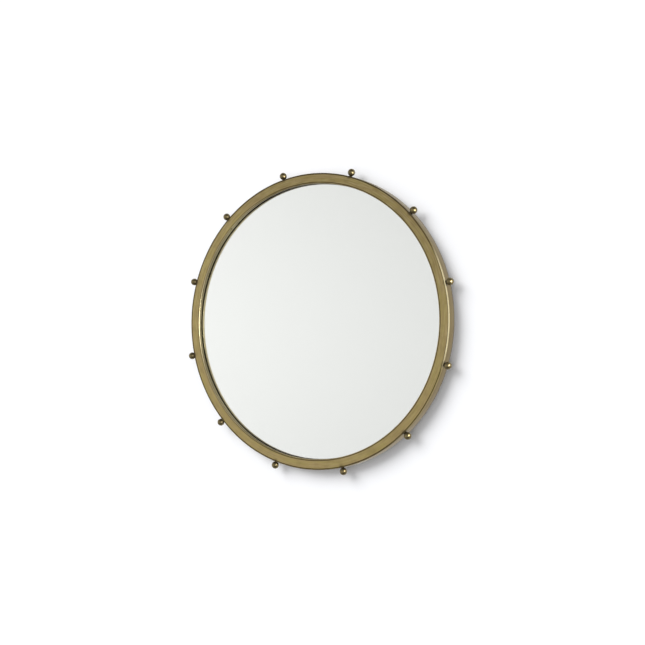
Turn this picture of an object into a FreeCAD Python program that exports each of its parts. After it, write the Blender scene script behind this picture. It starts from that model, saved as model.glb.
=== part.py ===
"""Round wall mirror in a brass frame studded with balls, hung from two D-rings.

The frame is a channel made of three welded rings: a deep outer hoop of flat bar, a flat
face ring set flush in its front edge, and a shallow inner lip that the glass lies against.
Twelve turned ball finials stand round the hoop on threaded studs, close to its front edge.
The glass, silvered on its back, beds on a foam tape behind the lip. A backing board clamps
it there, screwed to tabs welded inside the hoop. Two folded straps on the board carry the
swinging D-rings.

+Z is up, +X is to the right of someone who looks into the mirror, and +Y goes into the
wall. The origin is the centre of the plane where the hoop's back edge meets the wall.
All sizes are in millimetres. A "depth" is measured back from the frame's front plane.
"""
import FreeCAD, Part
import math
import os
from FreeCAD import Vector

# Outer hoop, a rolled flat bar
HOOP_DIAMETER = 776.0  # outside
HOOP_WIDTH = 32.0  # front edge to wall
HOOP_WALL = 3.0
HOOP_EDGE_ROUND = 2.5  # dressed front outer edge

# Face ring and inner lip
FACE_WIDTH = 27.5  # outside of the hoop to the edge of the opening
FACE_THICKNESS = 2.5
JOINT_BEVEL = 0.5  # weld groove on each side of the face ring
LIP_WALL = 3.0
LIP_DEPTH = 9.5
LIP_EDGE_ROUND = 1.5

# Ball finials and their studs
FINIAL_COUNT = 12
FINIAL_FIRST_ANGLE = 15.0  # degrees up from +X
FINIAL_AXIS_DEPTH = 5.6
BALL_DIAMETER = 19.0
NECK_DIAMETER = 7.5
NECK_LENGTH = 0.8  # least gap between ball and hoop
STUD_DIAMETER = 5.0
STUD_LENGTH = 10.0
STUD_INSIDE = 1.0  # stands out of the hoop's inner wall
STUD_END_ROOM = 0.5  # left free at the end of the ball's hole
STUD_END_CHAMFER = 0.6

# Glass, the silver and paint on its back, and its bedding tape
GLASS_THICKNESS = 4.9
SILVERING_THICKNESS = 0.1
GLASS_COVER = 4.0  # glass beyond the outside of the lip
GLASS_ARRIS = 0.7
TAPE_THICKNESS = 1.0
TAPE_SETBACK = 0.5  # tape behind the sight edge

# Backing board and the tabs that it is screwed to
BOARD_THICKNESS = 9.0
BOARD_CLEARANCE = 1.0  # to the inside of the hoop
BOARD_EDGE_CHAMFER = 0.8
TAB_COUNT = 8
TAB_FIRST_ANGLE = 22.5
TAB_WIDTH = 22.0
TAB_REACH = 15.0
TAB_THICKNESS = 2.5
TAB_CORNER_ROUND = 4.0
BOARD_SCREW_INSET = 8.5  # screw axis to the inside of the hoop
BOARD_SCREW_DIAMETER = 4.0
BOARD_SCREW_LENGTH = 12.0
BOARD_SCREW_HEAD = 8.0
BOARD_SCREW_HEAD_HEIGHT = 2.4
BOARD_HOLE_ROOM = 0.25  # radial, screw to board

# Hangers on the board
HANGER_SPACING = 400.0  # between the two rings
HANGER_HEIGHT = 170.0  # ring pivots above the centre
STRAP_WIDTH = 14.0
STRAP_GAUGE = 1.2  # sheet, folded double
STRAP_HOLE_REACH = (26.0, 37.0)  # pivot to each screw
STRAP_BEND_ROUND = 1.5
EYE_ROOM = 0.1  # radial, wire to folded eye
EYE_LEAVING_ANGLE = 35.0  # where the fold leaves the eye, above the board
RING_WIRE = 3.2
RING_WIDTH = 22.0  # clear width inside the D
RING_CORNER = 4.0  # centreline bend at each end of the bar
RING_LEG = 2.0  # straight leg between bend and bow
RING_REST_GAP = 0.3  # wire to strap with the ring hanging
STRAP_SCREW_DIAMETER = 3.5
STRAP_SCREW_LENGTH = 8.0
STRAP_SCREW_HEAD = 7.0
STRAP_SCREW_HEAD_HEIGHT = 2.2
STRAP_HOLE_ROOM = 0.35  # radial, screw to strap
PILOT_END_ROOM = 0.5  # left free at the end of the screw's hole in the board

THREAD_ROOM = 0.05  # radial, between a threaded shank and its hole

# Radii and depths that follow
hoop_outside = HOOP_DIAMETER / 2
hoop_inside = hoop_outside - HOOP_WALL
sight_radius = hoop_outside - FACE_WIDTH
lip_outside = sight_radius + LIP_WALL
glass_radius = lip_outside + GLASS_COVER
silvering_radius = glass_radius - GLASS_ARRIS  # the flat of the glass's back
board_radius = hoop_inside - BOARD_CLEARANCE
glass_front = LIP_DEPTH + TAPE_THICKNESS
glass_back = glass_front + GLASS_THICKNESS
board_front = glass_back + SILVERING_THICKNESS
board_back = board_front + BOARD_THICKNESS
ball_radius = BALL_DIAMETER / 2
neck_radius = NECK_DIAMETER / 2
stud_hole_radius = STUD_DIAMETER / 2 + THREAD_ROOM
stud_hole_depth = STUD_LENGTH - HOOP_WALL - STUD_INSIDE + STUD_END_ROOM
board_screw_circle = hoop_inside - BOARD_SCREW_INSET
strap_thickness = 2 * STRAP_GAUGE
wire_radius = RING_WIRE / 2
eye_radius = wire_radius + EYE_ROOM
pivot_lift = STRAP_GAUGE + eye_radius  # wire centre above the board
strap_length = STRAP_HOLE_REACH[-1] + STRAP_WIDTH / 2
bow_radius = (RING_WIDTH + RING_WIRE) / 2  # centreline
bow_centre = RING_CORNER + RING_LEG  # pivot to the bow's centre

AXIS = Vector(0, 1, 0)
OUT_OF_BOARD = Vector(0, 1, 0)


def at_depth(depth):
    """Y of a plane that lies this far behind the frame's front plane."""
    return depth - HOOP_WIDTH


def outline(corners):
    """Closed wire in the XY plane through (x, y, rounding) corners."""
    points = [Vector(x, y, 0) for x, y, _ in corners]
    stretches = []
    for i, (_, _, rounding) in enumerate(corners):
        corner = points[i]
        back = (points[i - 1] - corner).normalize()
        ahead = (points[(i + 1) % len(points)] - corner).normalize()
        if rounding == 0:
            stretches.append((corner, corner, corner))
            continue
        half = back.getAngle(ahead) / 2
        tangent = rounding / math.tan(half)
        middle = rounding / math.sin(half) - rounding
        bisector = (back + ahead).normalize()
        stretches.append((corner + back * tangent, corner + bisector * middle, corner + ahead * tangent))
    edges = []
    for i, (start, middle, end) in enumerate(stretches):
        if start != end:
            edges.append(Part.Arc(start, middle, end).toShape())
        edges.append(Part.makeLine(end, stretches[(i + 1) % len(stretches)][0]))
    return Part.Wire(edges)


def ring(corners):
    """Solid turned round the mirror's axis from (radius, depth, rounding) corners."""
    section = [(radius, at_depth(depth), rounding) for radius, depth, rounding in corners]
    return Part.Face(outline(section)).revolve(Vector(), AXIS, 360)


def turned(points):
    """Solid turned round +Z from (radius, height) points that start and end on the axis."""
    wire = Part.makePolygon([Vector(radius, 0, height) for radius, height in points + points[:1]])
    return Part.Face(wire).revolve(Vector(), Vector(0, 0, 1), 360)


def angles(count, first):
    return [first + i * 360.0 / count for i in range(count)]


def radial_place(angle, radius, depth):
    """Placement that turns local +Z outwards at this angle round the mirror."""
    outwards = Vector(math.cos(math.radians(angle)), 0, math.sin(math.radians(angle)))
    position = outwards * radius + Vector(0, at_depth(depth), 0)
    return FreeCAD.Placement(position, FreeCAD.Rotation(Vector(0, 0, 1), outwards))


def placed(shape, placement):
    copy = shape.copy()
    copy.Placement = placement
    return copy


def on_board(x, z, lift=0.0):
    """Point this far off the back of the board, on the wall's side."""
    return Vector(x, at_depth(board_back) + lift, z)


def make_outer_hoop():
    hoop = ring([
        (hoop_inside, 0, 0),
        (hoop_outside, 0, HOOP_EDGE_ROUND),
        (hoop_outside, HOOP_WIDTH, 0),
        (hoop_inside, HOOP_WIDTH, 0),
    ])
    drill = Part.makeCylinder(stud_hole_radius, 3 * HOOP_WALL)
    start = hoop_inside - HOOP_WALL
    holes = [placed(drill, radial_place(a, start, FINIAL_AXIS_DEPTH)) for a in finial_angles]
    return hoop.cut(Part.makeCompound(holes))


def make_face_ring():
    return ring([
        (lip_outside, JOINT_BEVEL, 0),
        (lip_outside + JOINT_BEVEL, 0, 0),
        (hoop_inside - JOINT_BEVEL, 0, 0),
        (hoop_inside, JOINT_BEVEL, 0),
        (hoop_inside, FACE_THICKNESS, 0),
        (lip_outside, FACE_THICKNESS, 0),
    ])


def make_inner_lip():
    return ring([
        (sight_radius, 0, LIP_EDGE_ROUND),
        (lip_outside, 0, 0),
        (lip_outside, LIP_DEPTH, 0),
        (sight_radius, LIP_DEPTH, 0),
    ])


def make_finial():
    """Ball on a short neck, its seat at the origin and its tapped hole along +Z."""
    ball_centre = NECK_LENGTH + ball_radius
    neck_top = ball_centre - math.sqrt(ball_radius**2 - neck_radius**2)
    seat = Vector(stud_hole_radius, 0, 0)
    shoulder = Vector(neck_radius, 0, 0)
    join = Vector(neck_radius, 0, neck_top)
    equator = Vector(ball_radius, 0, ball_centre)
    crown = Vector(0, 0, ball_centre + ball_radius)
    hole_end = Vector(0, 0, stud_hole_depth)
    hole_wall = Vector(stud_hole_radius, 0, stud_hole_depth)
    section = Part.Wire([
        Part.makeLine(seat, shoulder),
        Part.makeLine(shoulder, join),
        Part.Arc(join, equator, crown).toShape(),
        Part.makeLine(crown, hole_end),
        Part.makeLine(hole_end, hole_wall),
        Part.makeLine(hole_wall, seat),
    ])
    return Part.Face(section).revolve(Vector(), Vector(0, 0, 1), 360)


def make_studs():
    radius = STUD_DIAMETER / 2
    tip = radius - STUD_END_CHAMFER
    stud = turned([
        (0, 0),
        (tip, 0),
        (radius, STUD_END_CHAMFER),
        (radius, STUD_LENGTH - STUD_END_CHAMFER),
        (tip, STUD_LENGTH),
        (0, STUD_LENGTH),
    ])
    start = hoop_inside - STUD_INSIDE
    studs = [placed(stud, radial_place(a, start, FINIAL_AXIS_DEPTH)) for a in finial_angles]
    return Part.makeCompound(studs)


def make_glazing_tape():
    return ring([
        (sight_radius + TAPE_SETBACK, LIP_DEPTH, 0),
        (lip_outside, LIP_DEPTH, 0),
        (lip_outside, glass_front, 0),
        (sight_radius + TAPE_SETBACK, glass_front, 0),
    ])


def disc(radius, front, back, front_bevel, back_bevel):
    """Round plate with bevelled edges, between two depths."""
    return ring([
        (0, front, 0),
        (radius - front_bevel, front, 0),
        (radius, front + front_bevel, 0),
        (radius, back - back_bevel, 0),
        (radius - back_bevel, back, 0),
        (0, back, 0),
    ])


def make_mirror_glass():
    return disc(glass_radius, glass_front, glass_back, GLASS_ARRIS, GLASS_ARRIS)


def make_silver_backing():
    return ring([
        (0, glass_back, 0),
        (silvering_radius, glass_back, 0),
        (silvering_radius, board_front, 0),
        (0, board_front, 0),
    ])


def board_screw_points(depth):
    """Screw axes round the board, at one depth."""
    points = []
    for angle in angles(TAB_COUNT, TAB_FIRST_ANGLE):
        turn = math.radians(angle)
        across = board_screw_circle * math.cos(turn)
        up = board_screw_circle * math.sin(turn)
        points.append(Vector(across, at_depth(depth), up))
    return points


def strap_screw_points(lift):
    """Screw axes in both straps, this far off the board."""
    points = []
    for x in hanger_sides.values():
        points += [on_board(x, HANGER_HEIGHT - reach, lift) for reach in STRAP_HOLE_REACH]
    return points


def make_backing_board():
    board = disc(board_radius, board_front, board_back, BOARD_EDGE_CHAMFER, BOARD_EDGE_CHAMFER)
    clear = BOARD_SCREW_DIAMETER / 2 + BOARD_HOLE_ROOM
    pilot = STRAP_SCREW_DIAMETER / 2 + THREAD_ROOM
    pilot_depth = STRAP_SCREW_LENGTH - strap_thickness + PILOT_END_ROOM
    holes = [Part.makeCylinder(clear, BOARD_THICKNESS, p, AXIS) for p in board_screw_points(board_front)]
    holes += [Part.makeCylinder(pilot, pilot_depth, p, -AXIS) for p in strap_screw_points(0)]
    return board.cut(Part.makeCompound(holes))


def make_board_tabs():
    """Tabs that end on the hoop's inner wall, flush with the front of the board."""
    half = TAB_WIDTH / 2
    inner = hoop_inside - TAB_REACH
    plan = outline([
        (inner, -half, TAB_CORNER_ROUND),
        (hoop_outside, -half, 0),
        (hoop_outside, half, 0),
        (inner, half, TAB_CORNER_ROUND),
    ])
    blank = Part.Face(plan).extrude(Vector(0, 0, TAB_THICKNESS))
    bore = Part.makeCylinder(hoop_inside, TAB_THICKNESS)
    hole_radius = BOARD_SCREW_DIAMETER / 2 + THREAD_ROOM
    hole = Part.makeCylinder(hole_radius, TAB_THICKNESS, Vector(board_screw_circle, 0, 0))
    tab = blank.common(bore).cut(hole)
    tab.rotate(Vector(), Vector(1, 0, 0), -90)
    tab.translate(Vector(0, at_depth(board_front - TAB_THICKNESS), 0))
    tabs = []
    for angle in angles(TAB_COUNT, TAB_FIRST_ANGLE):
        one = tab.copy()
        one.rotate(Vector(), AXIS, -angle)
        tabs.append(one)
    return Part.makeCompound(tabs)


def lies_on(edge, point, direction):
    """Whether both ends of the edge are on the line through this point."""
    return all(vertex.Point.distanceToLine(point, direction) < 1e-6 for vertex in edge.Vertexes)


def make_pan_screw(diameter, length, head_diameter, head_height):
    """Pan-head screw that points along -Z, its head's seat at the origin."""
    radius = diameter / 2
    head_radius = head_diameter / 2
    flat = head_height / 3  # straight rim under the dome
    tip = radius / 2
    rim = Vector(head_radius, 0, flat)
    crown = Vector(0, 0, head_height)
    # the dome's arc passes through rim and crown with its centre on the axis
    rise = head_height - flat
    dome = (head_radius**2 + rise**2) / (2 * rise)
    slant = math.asin(head_radius / dome) / 2
    shoulder = Vector(dome * math.sin(slant), 0, head_height - dome + dome * math.cos(slant))
    corners = [
        crown,
        Vector(0, 0, -length),
        Vector(tip, 0, -length),
        Vector(radius, 0, -length + radius - tip),
        Vector(radius, 0, 0),
        Vector(head_radius, 0, 0),
        rim,
    ]
    edges = [Part.makeLine(a, b) for a, b in zip(corners, corners[1:])]
    edges.append(Part.Arc(rim, shoulder, crown).toShape())
    return Part.Face(Part.Wire(edges)).revolve(Vector(), Vector(0, 0, 1), 360)


def screws_at(screw, points):
    turn = FreeCAD.Rotation(Vector(0, 0, 1), OUT_OF_BOARD)
    return Part.makeCompound([placed(screw, FreeCAD.Placement(p, turn)) for p in points])


def make_board_screws():
    screw = make_pan_screw(
        BOARD_SCREW_DIAMETER,
        BOARD_SCREW_LENGTH,
        BOARD_SCREW_HEAD,
        BOARD_SCREW_HEAD_HEIGHT,
    )
    return screws_at(screw, board_screw_points(board_back))


def make_strap_screws():
    screw = make_pan_screw(
        STRAP_SCREW_DIAMETER,
        STRAP_SCREW_LENGTH,
        STRAP_SCREW_HEAD,
        STRAP_SCREW_HEAD_HEIGHT,
    )
    return screws_at(screw, strap_screw_points(strap_thickness))


def upright_cylinder(radius, height, x):
    return Part.makeCylinder(radius, height, Vector(x, 0, 0), Vector(0, 1, 0))


def make_strap(x):
    """Doubled sheet strap with a folded eye at its top, flat on the board.

    Built with local +X down the strap from the eye's axis and local +Y off the board.
    """
    half = STRAP_WIDTH / 2
    eye_outside = eye_radius + STRAP_GAUGE
    height = pivot_lift + eye_outside
    leave = math.radians(EYE_LEAVING_ANGLE)
    over = math.radians((90 + EYE_LEAVING_ANGLE) / 2)
    leave_out = eye_outside * math.cos(leave)
    leave_up = pivot_lift + eye_outside * math.sin(leave)
    # the fold runs down the tangent from there to the upper sheet
    meet_out = leave_out + (leave_up - strap_thickness) * math.tan(leave)

    foot = Vector(0, pivot_lift - eye_outside, 0)
    top = Vector(0, height, 0)
    far = Vector(-eye_outside, pivot_lift, 0)
    shoulder = Vector(eye_outside * math.cos(over), pivot_lift + eye_outside * math.sin(over), 0)
    leaving = Vector(leave_out, leave_up, 0)
    meeting = Vector(meet_out, strap_thickness, 0)
    end_top = Vector(strap_length, strap_thickness, 0)
    end_foot = Vector(strap_length, 0, 0)
    profile = Part.Wire([
        Part.Arc(foot, far, top).toShape(),
        Part.Arc(top, shoulder, leaving).toShape(),
        Part.makeLine(leaving, meeting),
        Part.makeLine(meeting, end_top),
        Part.makeLine(end_top, end_foot),
        Part.makeLine(end_foot, foot),
    ])
    across = Vector(0, 0, 1)
    strap = Part.Face(profile).extrude(across * STRAP_WIDTH)
    bend = [edge for edge in strap.Edges if lies_on(edge, meeting, across)]
    strap = strap.makeFillet(STRAP_BEND_ROUND, bend)
    strap.translate(-across * half)

    # square at the eye, half round at the far end
    tail_start = strap_length - half
    corner = Vector(-eye_outside, 0, -half)
    square = Part.makeBox(eye_outside + tail_start, height, STRAP_WIDTH, corner)
    tail = upright_cylinder(half, height, tail_start)
    strap = strap.common(square.fuse(tail))
    hole_radius = STRAP_SCREW_DIAMETER / 2 + STRAP_HOLE_ROOM
    cuts = [upright_cylinder(hole_radius, height, reach) for reach in STRAP_HOLE_REACH]
    cuts.append(Part.makeCylinder(eye_radius, STRAP_WIDTH, Vector(0, pivot_lift, -half)))
    strap = strap.cut(Part.makeCompound(cuts))
    strap.rotate(Vector(), Vector(0, 1, 0), 90)
    strap.translate(on_board(x, HANGER_HEIGHT))
    return strap


def ring_rest_tilt():
    """Degrees off the board at which the hanging ring's bow lies on the strap."""
    crossing = bow_centre + math.sqrt(bow_radius**2 - (STRAP_WIDTH / 2) ** 2)
    lift = strap_thickness + RING_REST_GAP + wire_radius - pivot_lift
    return math.degrees(math.asin(lift / crossing))


def make_ring(x):
    """D-ring of round wire, its bar in the strap's eye, hanging over the strap."""
    side = bow_radius - RING_CORNER
    slant = RING_CORNER * math.sqrt(0.5)
    bar_end = Vector(side, 0, 0)
    bend_middle = Vector(side + slant, 0, slant - RING_CORNER)
    leg_top = Vector(bow_radius, 0, -RING_CORNER)
    leg_foot = Vector(bow_radius, 0, -bow_centre)
    bow_middle = Vector(bow_radius * math.sqrt(0.5), 0, -bow_centre - bow_radius * math.sqrt(0.5))
    bow_foot = Vector(0, 0, -bow_centre - bow_radius)
    path = Part.Wire([
        Part.makeLine(Vector(), bar_end),
        Part.Arc(bar_end, bend_middle, leg_top).toShape(),
        Part.makeLine(leg_top, leg_foot),
        Part.Arc(leg_foot, bow_middle, bow_foot).toShape(),
    ])
    section = Part.Wire([Part.makeCircle(wire_radius, Vector(), Vector(1, 0, 0))])
    half = path.makePipeShell([section], True, False)
    whole = half.fuse(half.mirror(Vector(), Vector(1, 0, 0))).removeSplitter()
    whole.rotate(Vector(), Vector(1, 0, 0), ring_rest_tilt())
    whole.translate(on_board(x, HANGER_HEIGHT, pivot_lift))
    return whole


def export(shape, node):
    shape.exportStep(f"parts/{node}.step")
    solids = shape.Solids
    state = "valid" if shape.isValid() else "NOT VALID"
    print(f"{node}: {len(solids)} solid(s), {sum(s.Volume for s in solids):.0f} mm3, {state}")


finial_angles = angles(FINIAL_COUNT, FINIAL_FIRST_ANGLE)
hanger_sides = {"left": -HANGER_SPACING / 2, "right": HANGER_SPACING / 2}

os.makedirs("parts", exist_ok=True)
export(make_outer_hoop(), "outer_hoop")
export(make_face_ring(), "face_ring")
export(make_inner_lip(), "inner_lip")
finial = make_finial()
for number, angle in enumerate(finial_angles, start=1):
    seat = radial_place(angle, hoop_outside, FINIAL_AXIS_DEPTH)
    export(placed(finial, seat), f"ball_finial_{number:02d}")
export(make_studs(), "finial_studs")
export(make_glazing_tape(), "glazing_tape")
export(make_mirror_glass(), "mirror_glass")
export(make_silver_backing(), "silver_backing")
export(make_backing_board(), "backing_board")
export(make_board_tabs(), "board_tabs")
export(make_board_screws(), "board_screws")
for side, x in hanger_sides.items():
    export(make_strap(x), f"hanger_strap_{side}")
    export(make_ring(x), f"hanger_ring_{side}")
export(make_strap_screws(), "hanger_screws")
pivot_depth = at_depth(board_back) + pivot_lift
print(f"rings hang {ring_rest_tilt():.2f} degrees off the board, on pivots at Y {pivot_depth:.3f} mm")
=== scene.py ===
"""Looks of a round wall mirror: aged brass frame with ball finials, silvered glass and its back.

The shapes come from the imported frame. This file gives every piece its finish, adds the
small things that are worked by hand, such as the brazed collars under the balls and the
cross recesses of the screws, and sets up the camera and a white studio wall.
Lengths are in metres. +X is right, +Y goes into the wall and +Z is up.
"""
import math
import bmesh
import bpy
from bpy.props import FloatProperty, FloatVectorProperty, PointerProperty
from mathutils import Matrix, Vector


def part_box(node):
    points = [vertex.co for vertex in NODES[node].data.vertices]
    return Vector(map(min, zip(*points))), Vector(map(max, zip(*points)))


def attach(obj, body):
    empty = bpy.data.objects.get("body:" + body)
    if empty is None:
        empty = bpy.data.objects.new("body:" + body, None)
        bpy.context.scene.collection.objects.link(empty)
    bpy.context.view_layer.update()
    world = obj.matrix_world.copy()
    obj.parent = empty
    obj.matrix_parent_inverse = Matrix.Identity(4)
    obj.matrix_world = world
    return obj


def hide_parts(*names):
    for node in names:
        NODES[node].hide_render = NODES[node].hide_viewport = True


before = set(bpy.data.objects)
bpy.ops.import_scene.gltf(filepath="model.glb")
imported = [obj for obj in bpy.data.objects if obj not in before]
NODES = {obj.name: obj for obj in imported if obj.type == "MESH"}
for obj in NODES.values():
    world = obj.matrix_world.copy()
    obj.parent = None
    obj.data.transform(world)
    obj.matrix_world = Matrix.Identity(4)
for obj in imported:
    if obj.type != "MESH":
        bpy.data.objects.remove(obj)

bl_info = {
    "name": "Round brass mirror with ball finials",
    "version": (1, 0, 0),
    "blender": (4, 5, 0),
    "location": "3D View > Sidebar > Mirror",
    "description": "Finishes, brazing, screws and studio for a round brass wall mirror",
    "category": "Object",
}

MM = 0.001
BODY = "frame"
WHITE = (1.0, 1.0, 1.0, 1.0)
# faces round each kind of piece
RING_STEPS = 384
COLLAR_STEPS = 28
SCREW_STEPS = 40
BALLS = sorted(name for name in NODES if name.startswith("ball_finial"))
HANGER_PARTS = [name for name in NODES if name.startswith(("hanger_ring", "hanger_strap"))]

# angles round the ring, up from +X
HIGHLIGHT_MIDDLE = math.radians(6)  # of the stretch of the hoop's edge that carries a painted highlight
HIGHLIGHT_HALF = math.radians(13)  # where it starts to fade, to each side
HIGHLIGHT_END = math.radians(25)  # where it ends
SHADE_MIDDLE = math.radians(75)  # of the painted shade on the upper part of the ring


# ---------------------------------------------------------------- sizes read off the frame


def reach(node):
    """Least and greatest distance of a node's points from the mirror's axis."""
    spans = [math.hypot(v.co.x, v.co.z) for v in NODES[node].data.vertices]
    return min(spans), max(spans)


FRONT, WALL = (corner.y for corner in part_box("outer_hoop"))
HOOP_INSIDE, HOOP_OUTSIDE = reach("outer_hoop")
FACE_INSIDE, FACE_OUTSIDE = reach("face_ring")
FACE_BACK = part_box("face_ring")[1].y
SIGHT_RADIUS, LIP_OUTSIDE = reach("inner_lip")
LIP_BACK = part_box("inner_lip")[1].y
BALL_AXIS_Y = sum(corner.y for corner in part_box(BALLS[0])) / 2
GLASS_RADIUS = reach("mirror_glass")[1]
GLASS_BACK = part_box("mirror_glass")[1].y
SILVER_RADIUS = reach("silver_backing")[1]
SILVER_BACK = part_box("silver_backing")[1].y
BOARD_RADIUS = reach("backing_board")[1]


def direction(azimuth, elevation):
    """Unit vector from the mirror; azimuth is to the right of straight on."""
    return Vector((
        math.sin(azimuth) * math.cos(elevation),
        -math.cos(azimuth) * math.cos(elevation),
        math.sin(elevation),
    ))


def facing(way):
    """Matrix that turns +Z along a direction, as for a camera or lamp that looks back along it."""
    return way.to_track_quat("Z", "Y").to_matrix().to_4x4()


def ball_angle(node):
    """Direction of a ball's neck, in radians up from +X."""
    low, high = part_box(node)
    return math.atan2(low.z + high.z, low.x + high.x)


def screw_shape(node):
    """Crowns of a node's screws, and one's head radius, head height, shank radius and length."""
    points = [vertex.co for vertex in NODES[node].data.vertices]
    top = max(point.y for point in points)
    crowns = []
    for point in points:
        if point.y > top - 1e-6 and all((point - other).length > MM for other in crowns):
            crowns.append(point.copy())
    own = [point - crowns[0] for point in points]
    widest = 6 * MM  # more than any head's radius, and less than the space between two screws
    own = [(math.hypot(p.x, p.z), -p.y) for p in own if math.hypot(p.x, p.z) < widest]
    head_radius = max(radius for radius, _ in own)
    head_height = max(drop for radius, drop in own if radius > 0.99 * head_radius)
    length = max(drop for _, drop in own)
    shank_radius = max(radius for radius, drop in own if drop > head_height + 0.1 * MM)
    return crowns, head_radius, head_height, shank_radius, length


# ---------------------------------------------------------------- node trees as Python sums


class Wire:
    """An output socket that can stand in a Python sum, which adds the nodes that work it out."""

    def __init__(self, plan, socket):
        self.plan = plan
        self.socket = socket

    def _sum(self, operation, *values):
        wires = [value for value in values if isinstance(value, Wire)]
        kind = "ShaderNodeMath"
        if any(wire.socket.type == "VECTOR" for wire in wires):
            values = [v if isinstance(v, (Wire, tuple)) else (v, v, v) for v in values]
            kind = "ShaderNodeVectorMath"
        return self.plan.node(kind, dict(enumerate(values)), operation=operation)

    def __add__(self, other):
        return self._sum("ADD", self, other)

    def __radd__(self, other):
        return self._sum("ADD", other, self)

    def __sub__(self, other):
        return self._sum("SUBTRACT", self, other)

    def __rsub__(self, other):
        return self._sum("SUBTRACT", other, self)

    def __mul__(self, other):
        return self._sum("MULTIPLY", self, other)

    def __rmul__(self, other):
        return self._sum("MULTIPLY", other, self)

    def __truediv__(self, other):
        return self._sum("DIVIDE", self, other)

    def __rtruediv__(self, other):
        return self._sum("DIVIDE", other, self)

    def __pow__(self, other):
        return self._sum("POWER", self, other)

    def __abs__(self):
        return self._sum("ABSOLUTE", self)

    def at_least(self, other):
        return self._sum("MAXIMUM", self, other)

    def at_most(self, other):
        return self._sum("MINIMUM", self, other)

    def fraction(self):
        return self._sum("FRACT", self)

    def dot(self, other):
        sockets = {0: self, 1: other}
        return self.plan.node("ShaderNodeVectorMath", sockets, "Value", operation="DOT_PRODUCT")

    def fade(self, start, end, low=0.0, high=1.0):
        """Goes smoothly from low, where this value is at start, to high at end."""
        if start > end:
            start, end, low, high = end, start, high, low
        sockets = {0: self, "From Min": start, "From Max": end, "To Min": low, "To Max": high}
        return self.plan.node("ShaderNodeMapRange", sockets, interpolation_type="SMOOTHSTEP")

    def other(self, name):
        """Another output of the node that this one comes from."""
        return Wire(self.plan, self.socket.node.outputs[name])


class Plan:
    """A node tree that is written one call a node."""

    def __init__(self, tree):
        self.tree = tree
        tree.nodes.clear()

    def node(self, kind, sockets=None, out=0, **settings):
        """Adds a node and returns one of its outputs; sockets holds its inputs."""
        made = self.tree.nodes.new(kind)
        for name, value in settings.items():
            setattr(made, name, value)
        for key, value in (sockets or {}).items():
            if isinstance(value, Wire):
                self.tree.links.new(value.socket, made.inputs[key])
            else:
                made.inputs[key].default_value = value
        return Wire(self, made.outputs[out]) if made.outputs else None

    def vector(self, x, y, z):
        return self.node("ShaderNodeCombineXYZ", {0: x, 1: y, 2: z})

    def noise(self, vector, scale=1.0, detail=3.0, roughness=0.5):
        sockets = {"Vector": vector, "Scale": scale, "Detail": detail, "Roughness": roughness}
        return self.node("ShaderNodeTexNoise", sockets)

    def blend(self, factor, first, second):
        """Colour between two colours."""
        sockets = {0: factor, 6: first, 7: second}
        return self.node("ShaderNodeMix", sockets, out=2, data_type="RGBA")

    def bump(self, height, distance, strength, over=None):
        """Normal of a surface with fine relief, laid over another relief if one is given."""
        sockets = {"Height": height, "Distance": distance, "Strength": strength}
        if over is not None:
            sockets["Normal"] = over
        return self.node("ShaderNodeBump", sockets)

    def place(self):
        """The point's place on the object."""
        return self.node("ShaderNodeTexCoord", out="Object")

    def numbers(self, vector):
        """A vector's three numbers."""
        x = self.node("ShaderNodeSeparateXYZ", {0: vector}, out="X")
        return x, x.other("Y"), x.other("Z")

    def from_axis(self, vector):
        """A place's distance from the mirror's axis."""
        x, _, z = self.numbers(vector)
        return (x * x + z * z) ** 0.5

    def surface(self, sockets):
        shader = self.node("ShaderNodeBsdfPrincipled", sockets)
        self.node("ShaderNodeOutputMaterial", {"Surface": shader})


def new_material(name):
    material = bpy.data.materials.new(name)
    material.use_nodes = True
    return material, Plan(material.node_tree)


def colour(values):
    """A colour property as the four numbers that a socket takes."""
    return (*values[:3], 1.0)


def shade(values, factor):
    return tuple(v * factor for v in values[:3])


# ---------------------------------------------------------------- finishes


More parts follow.
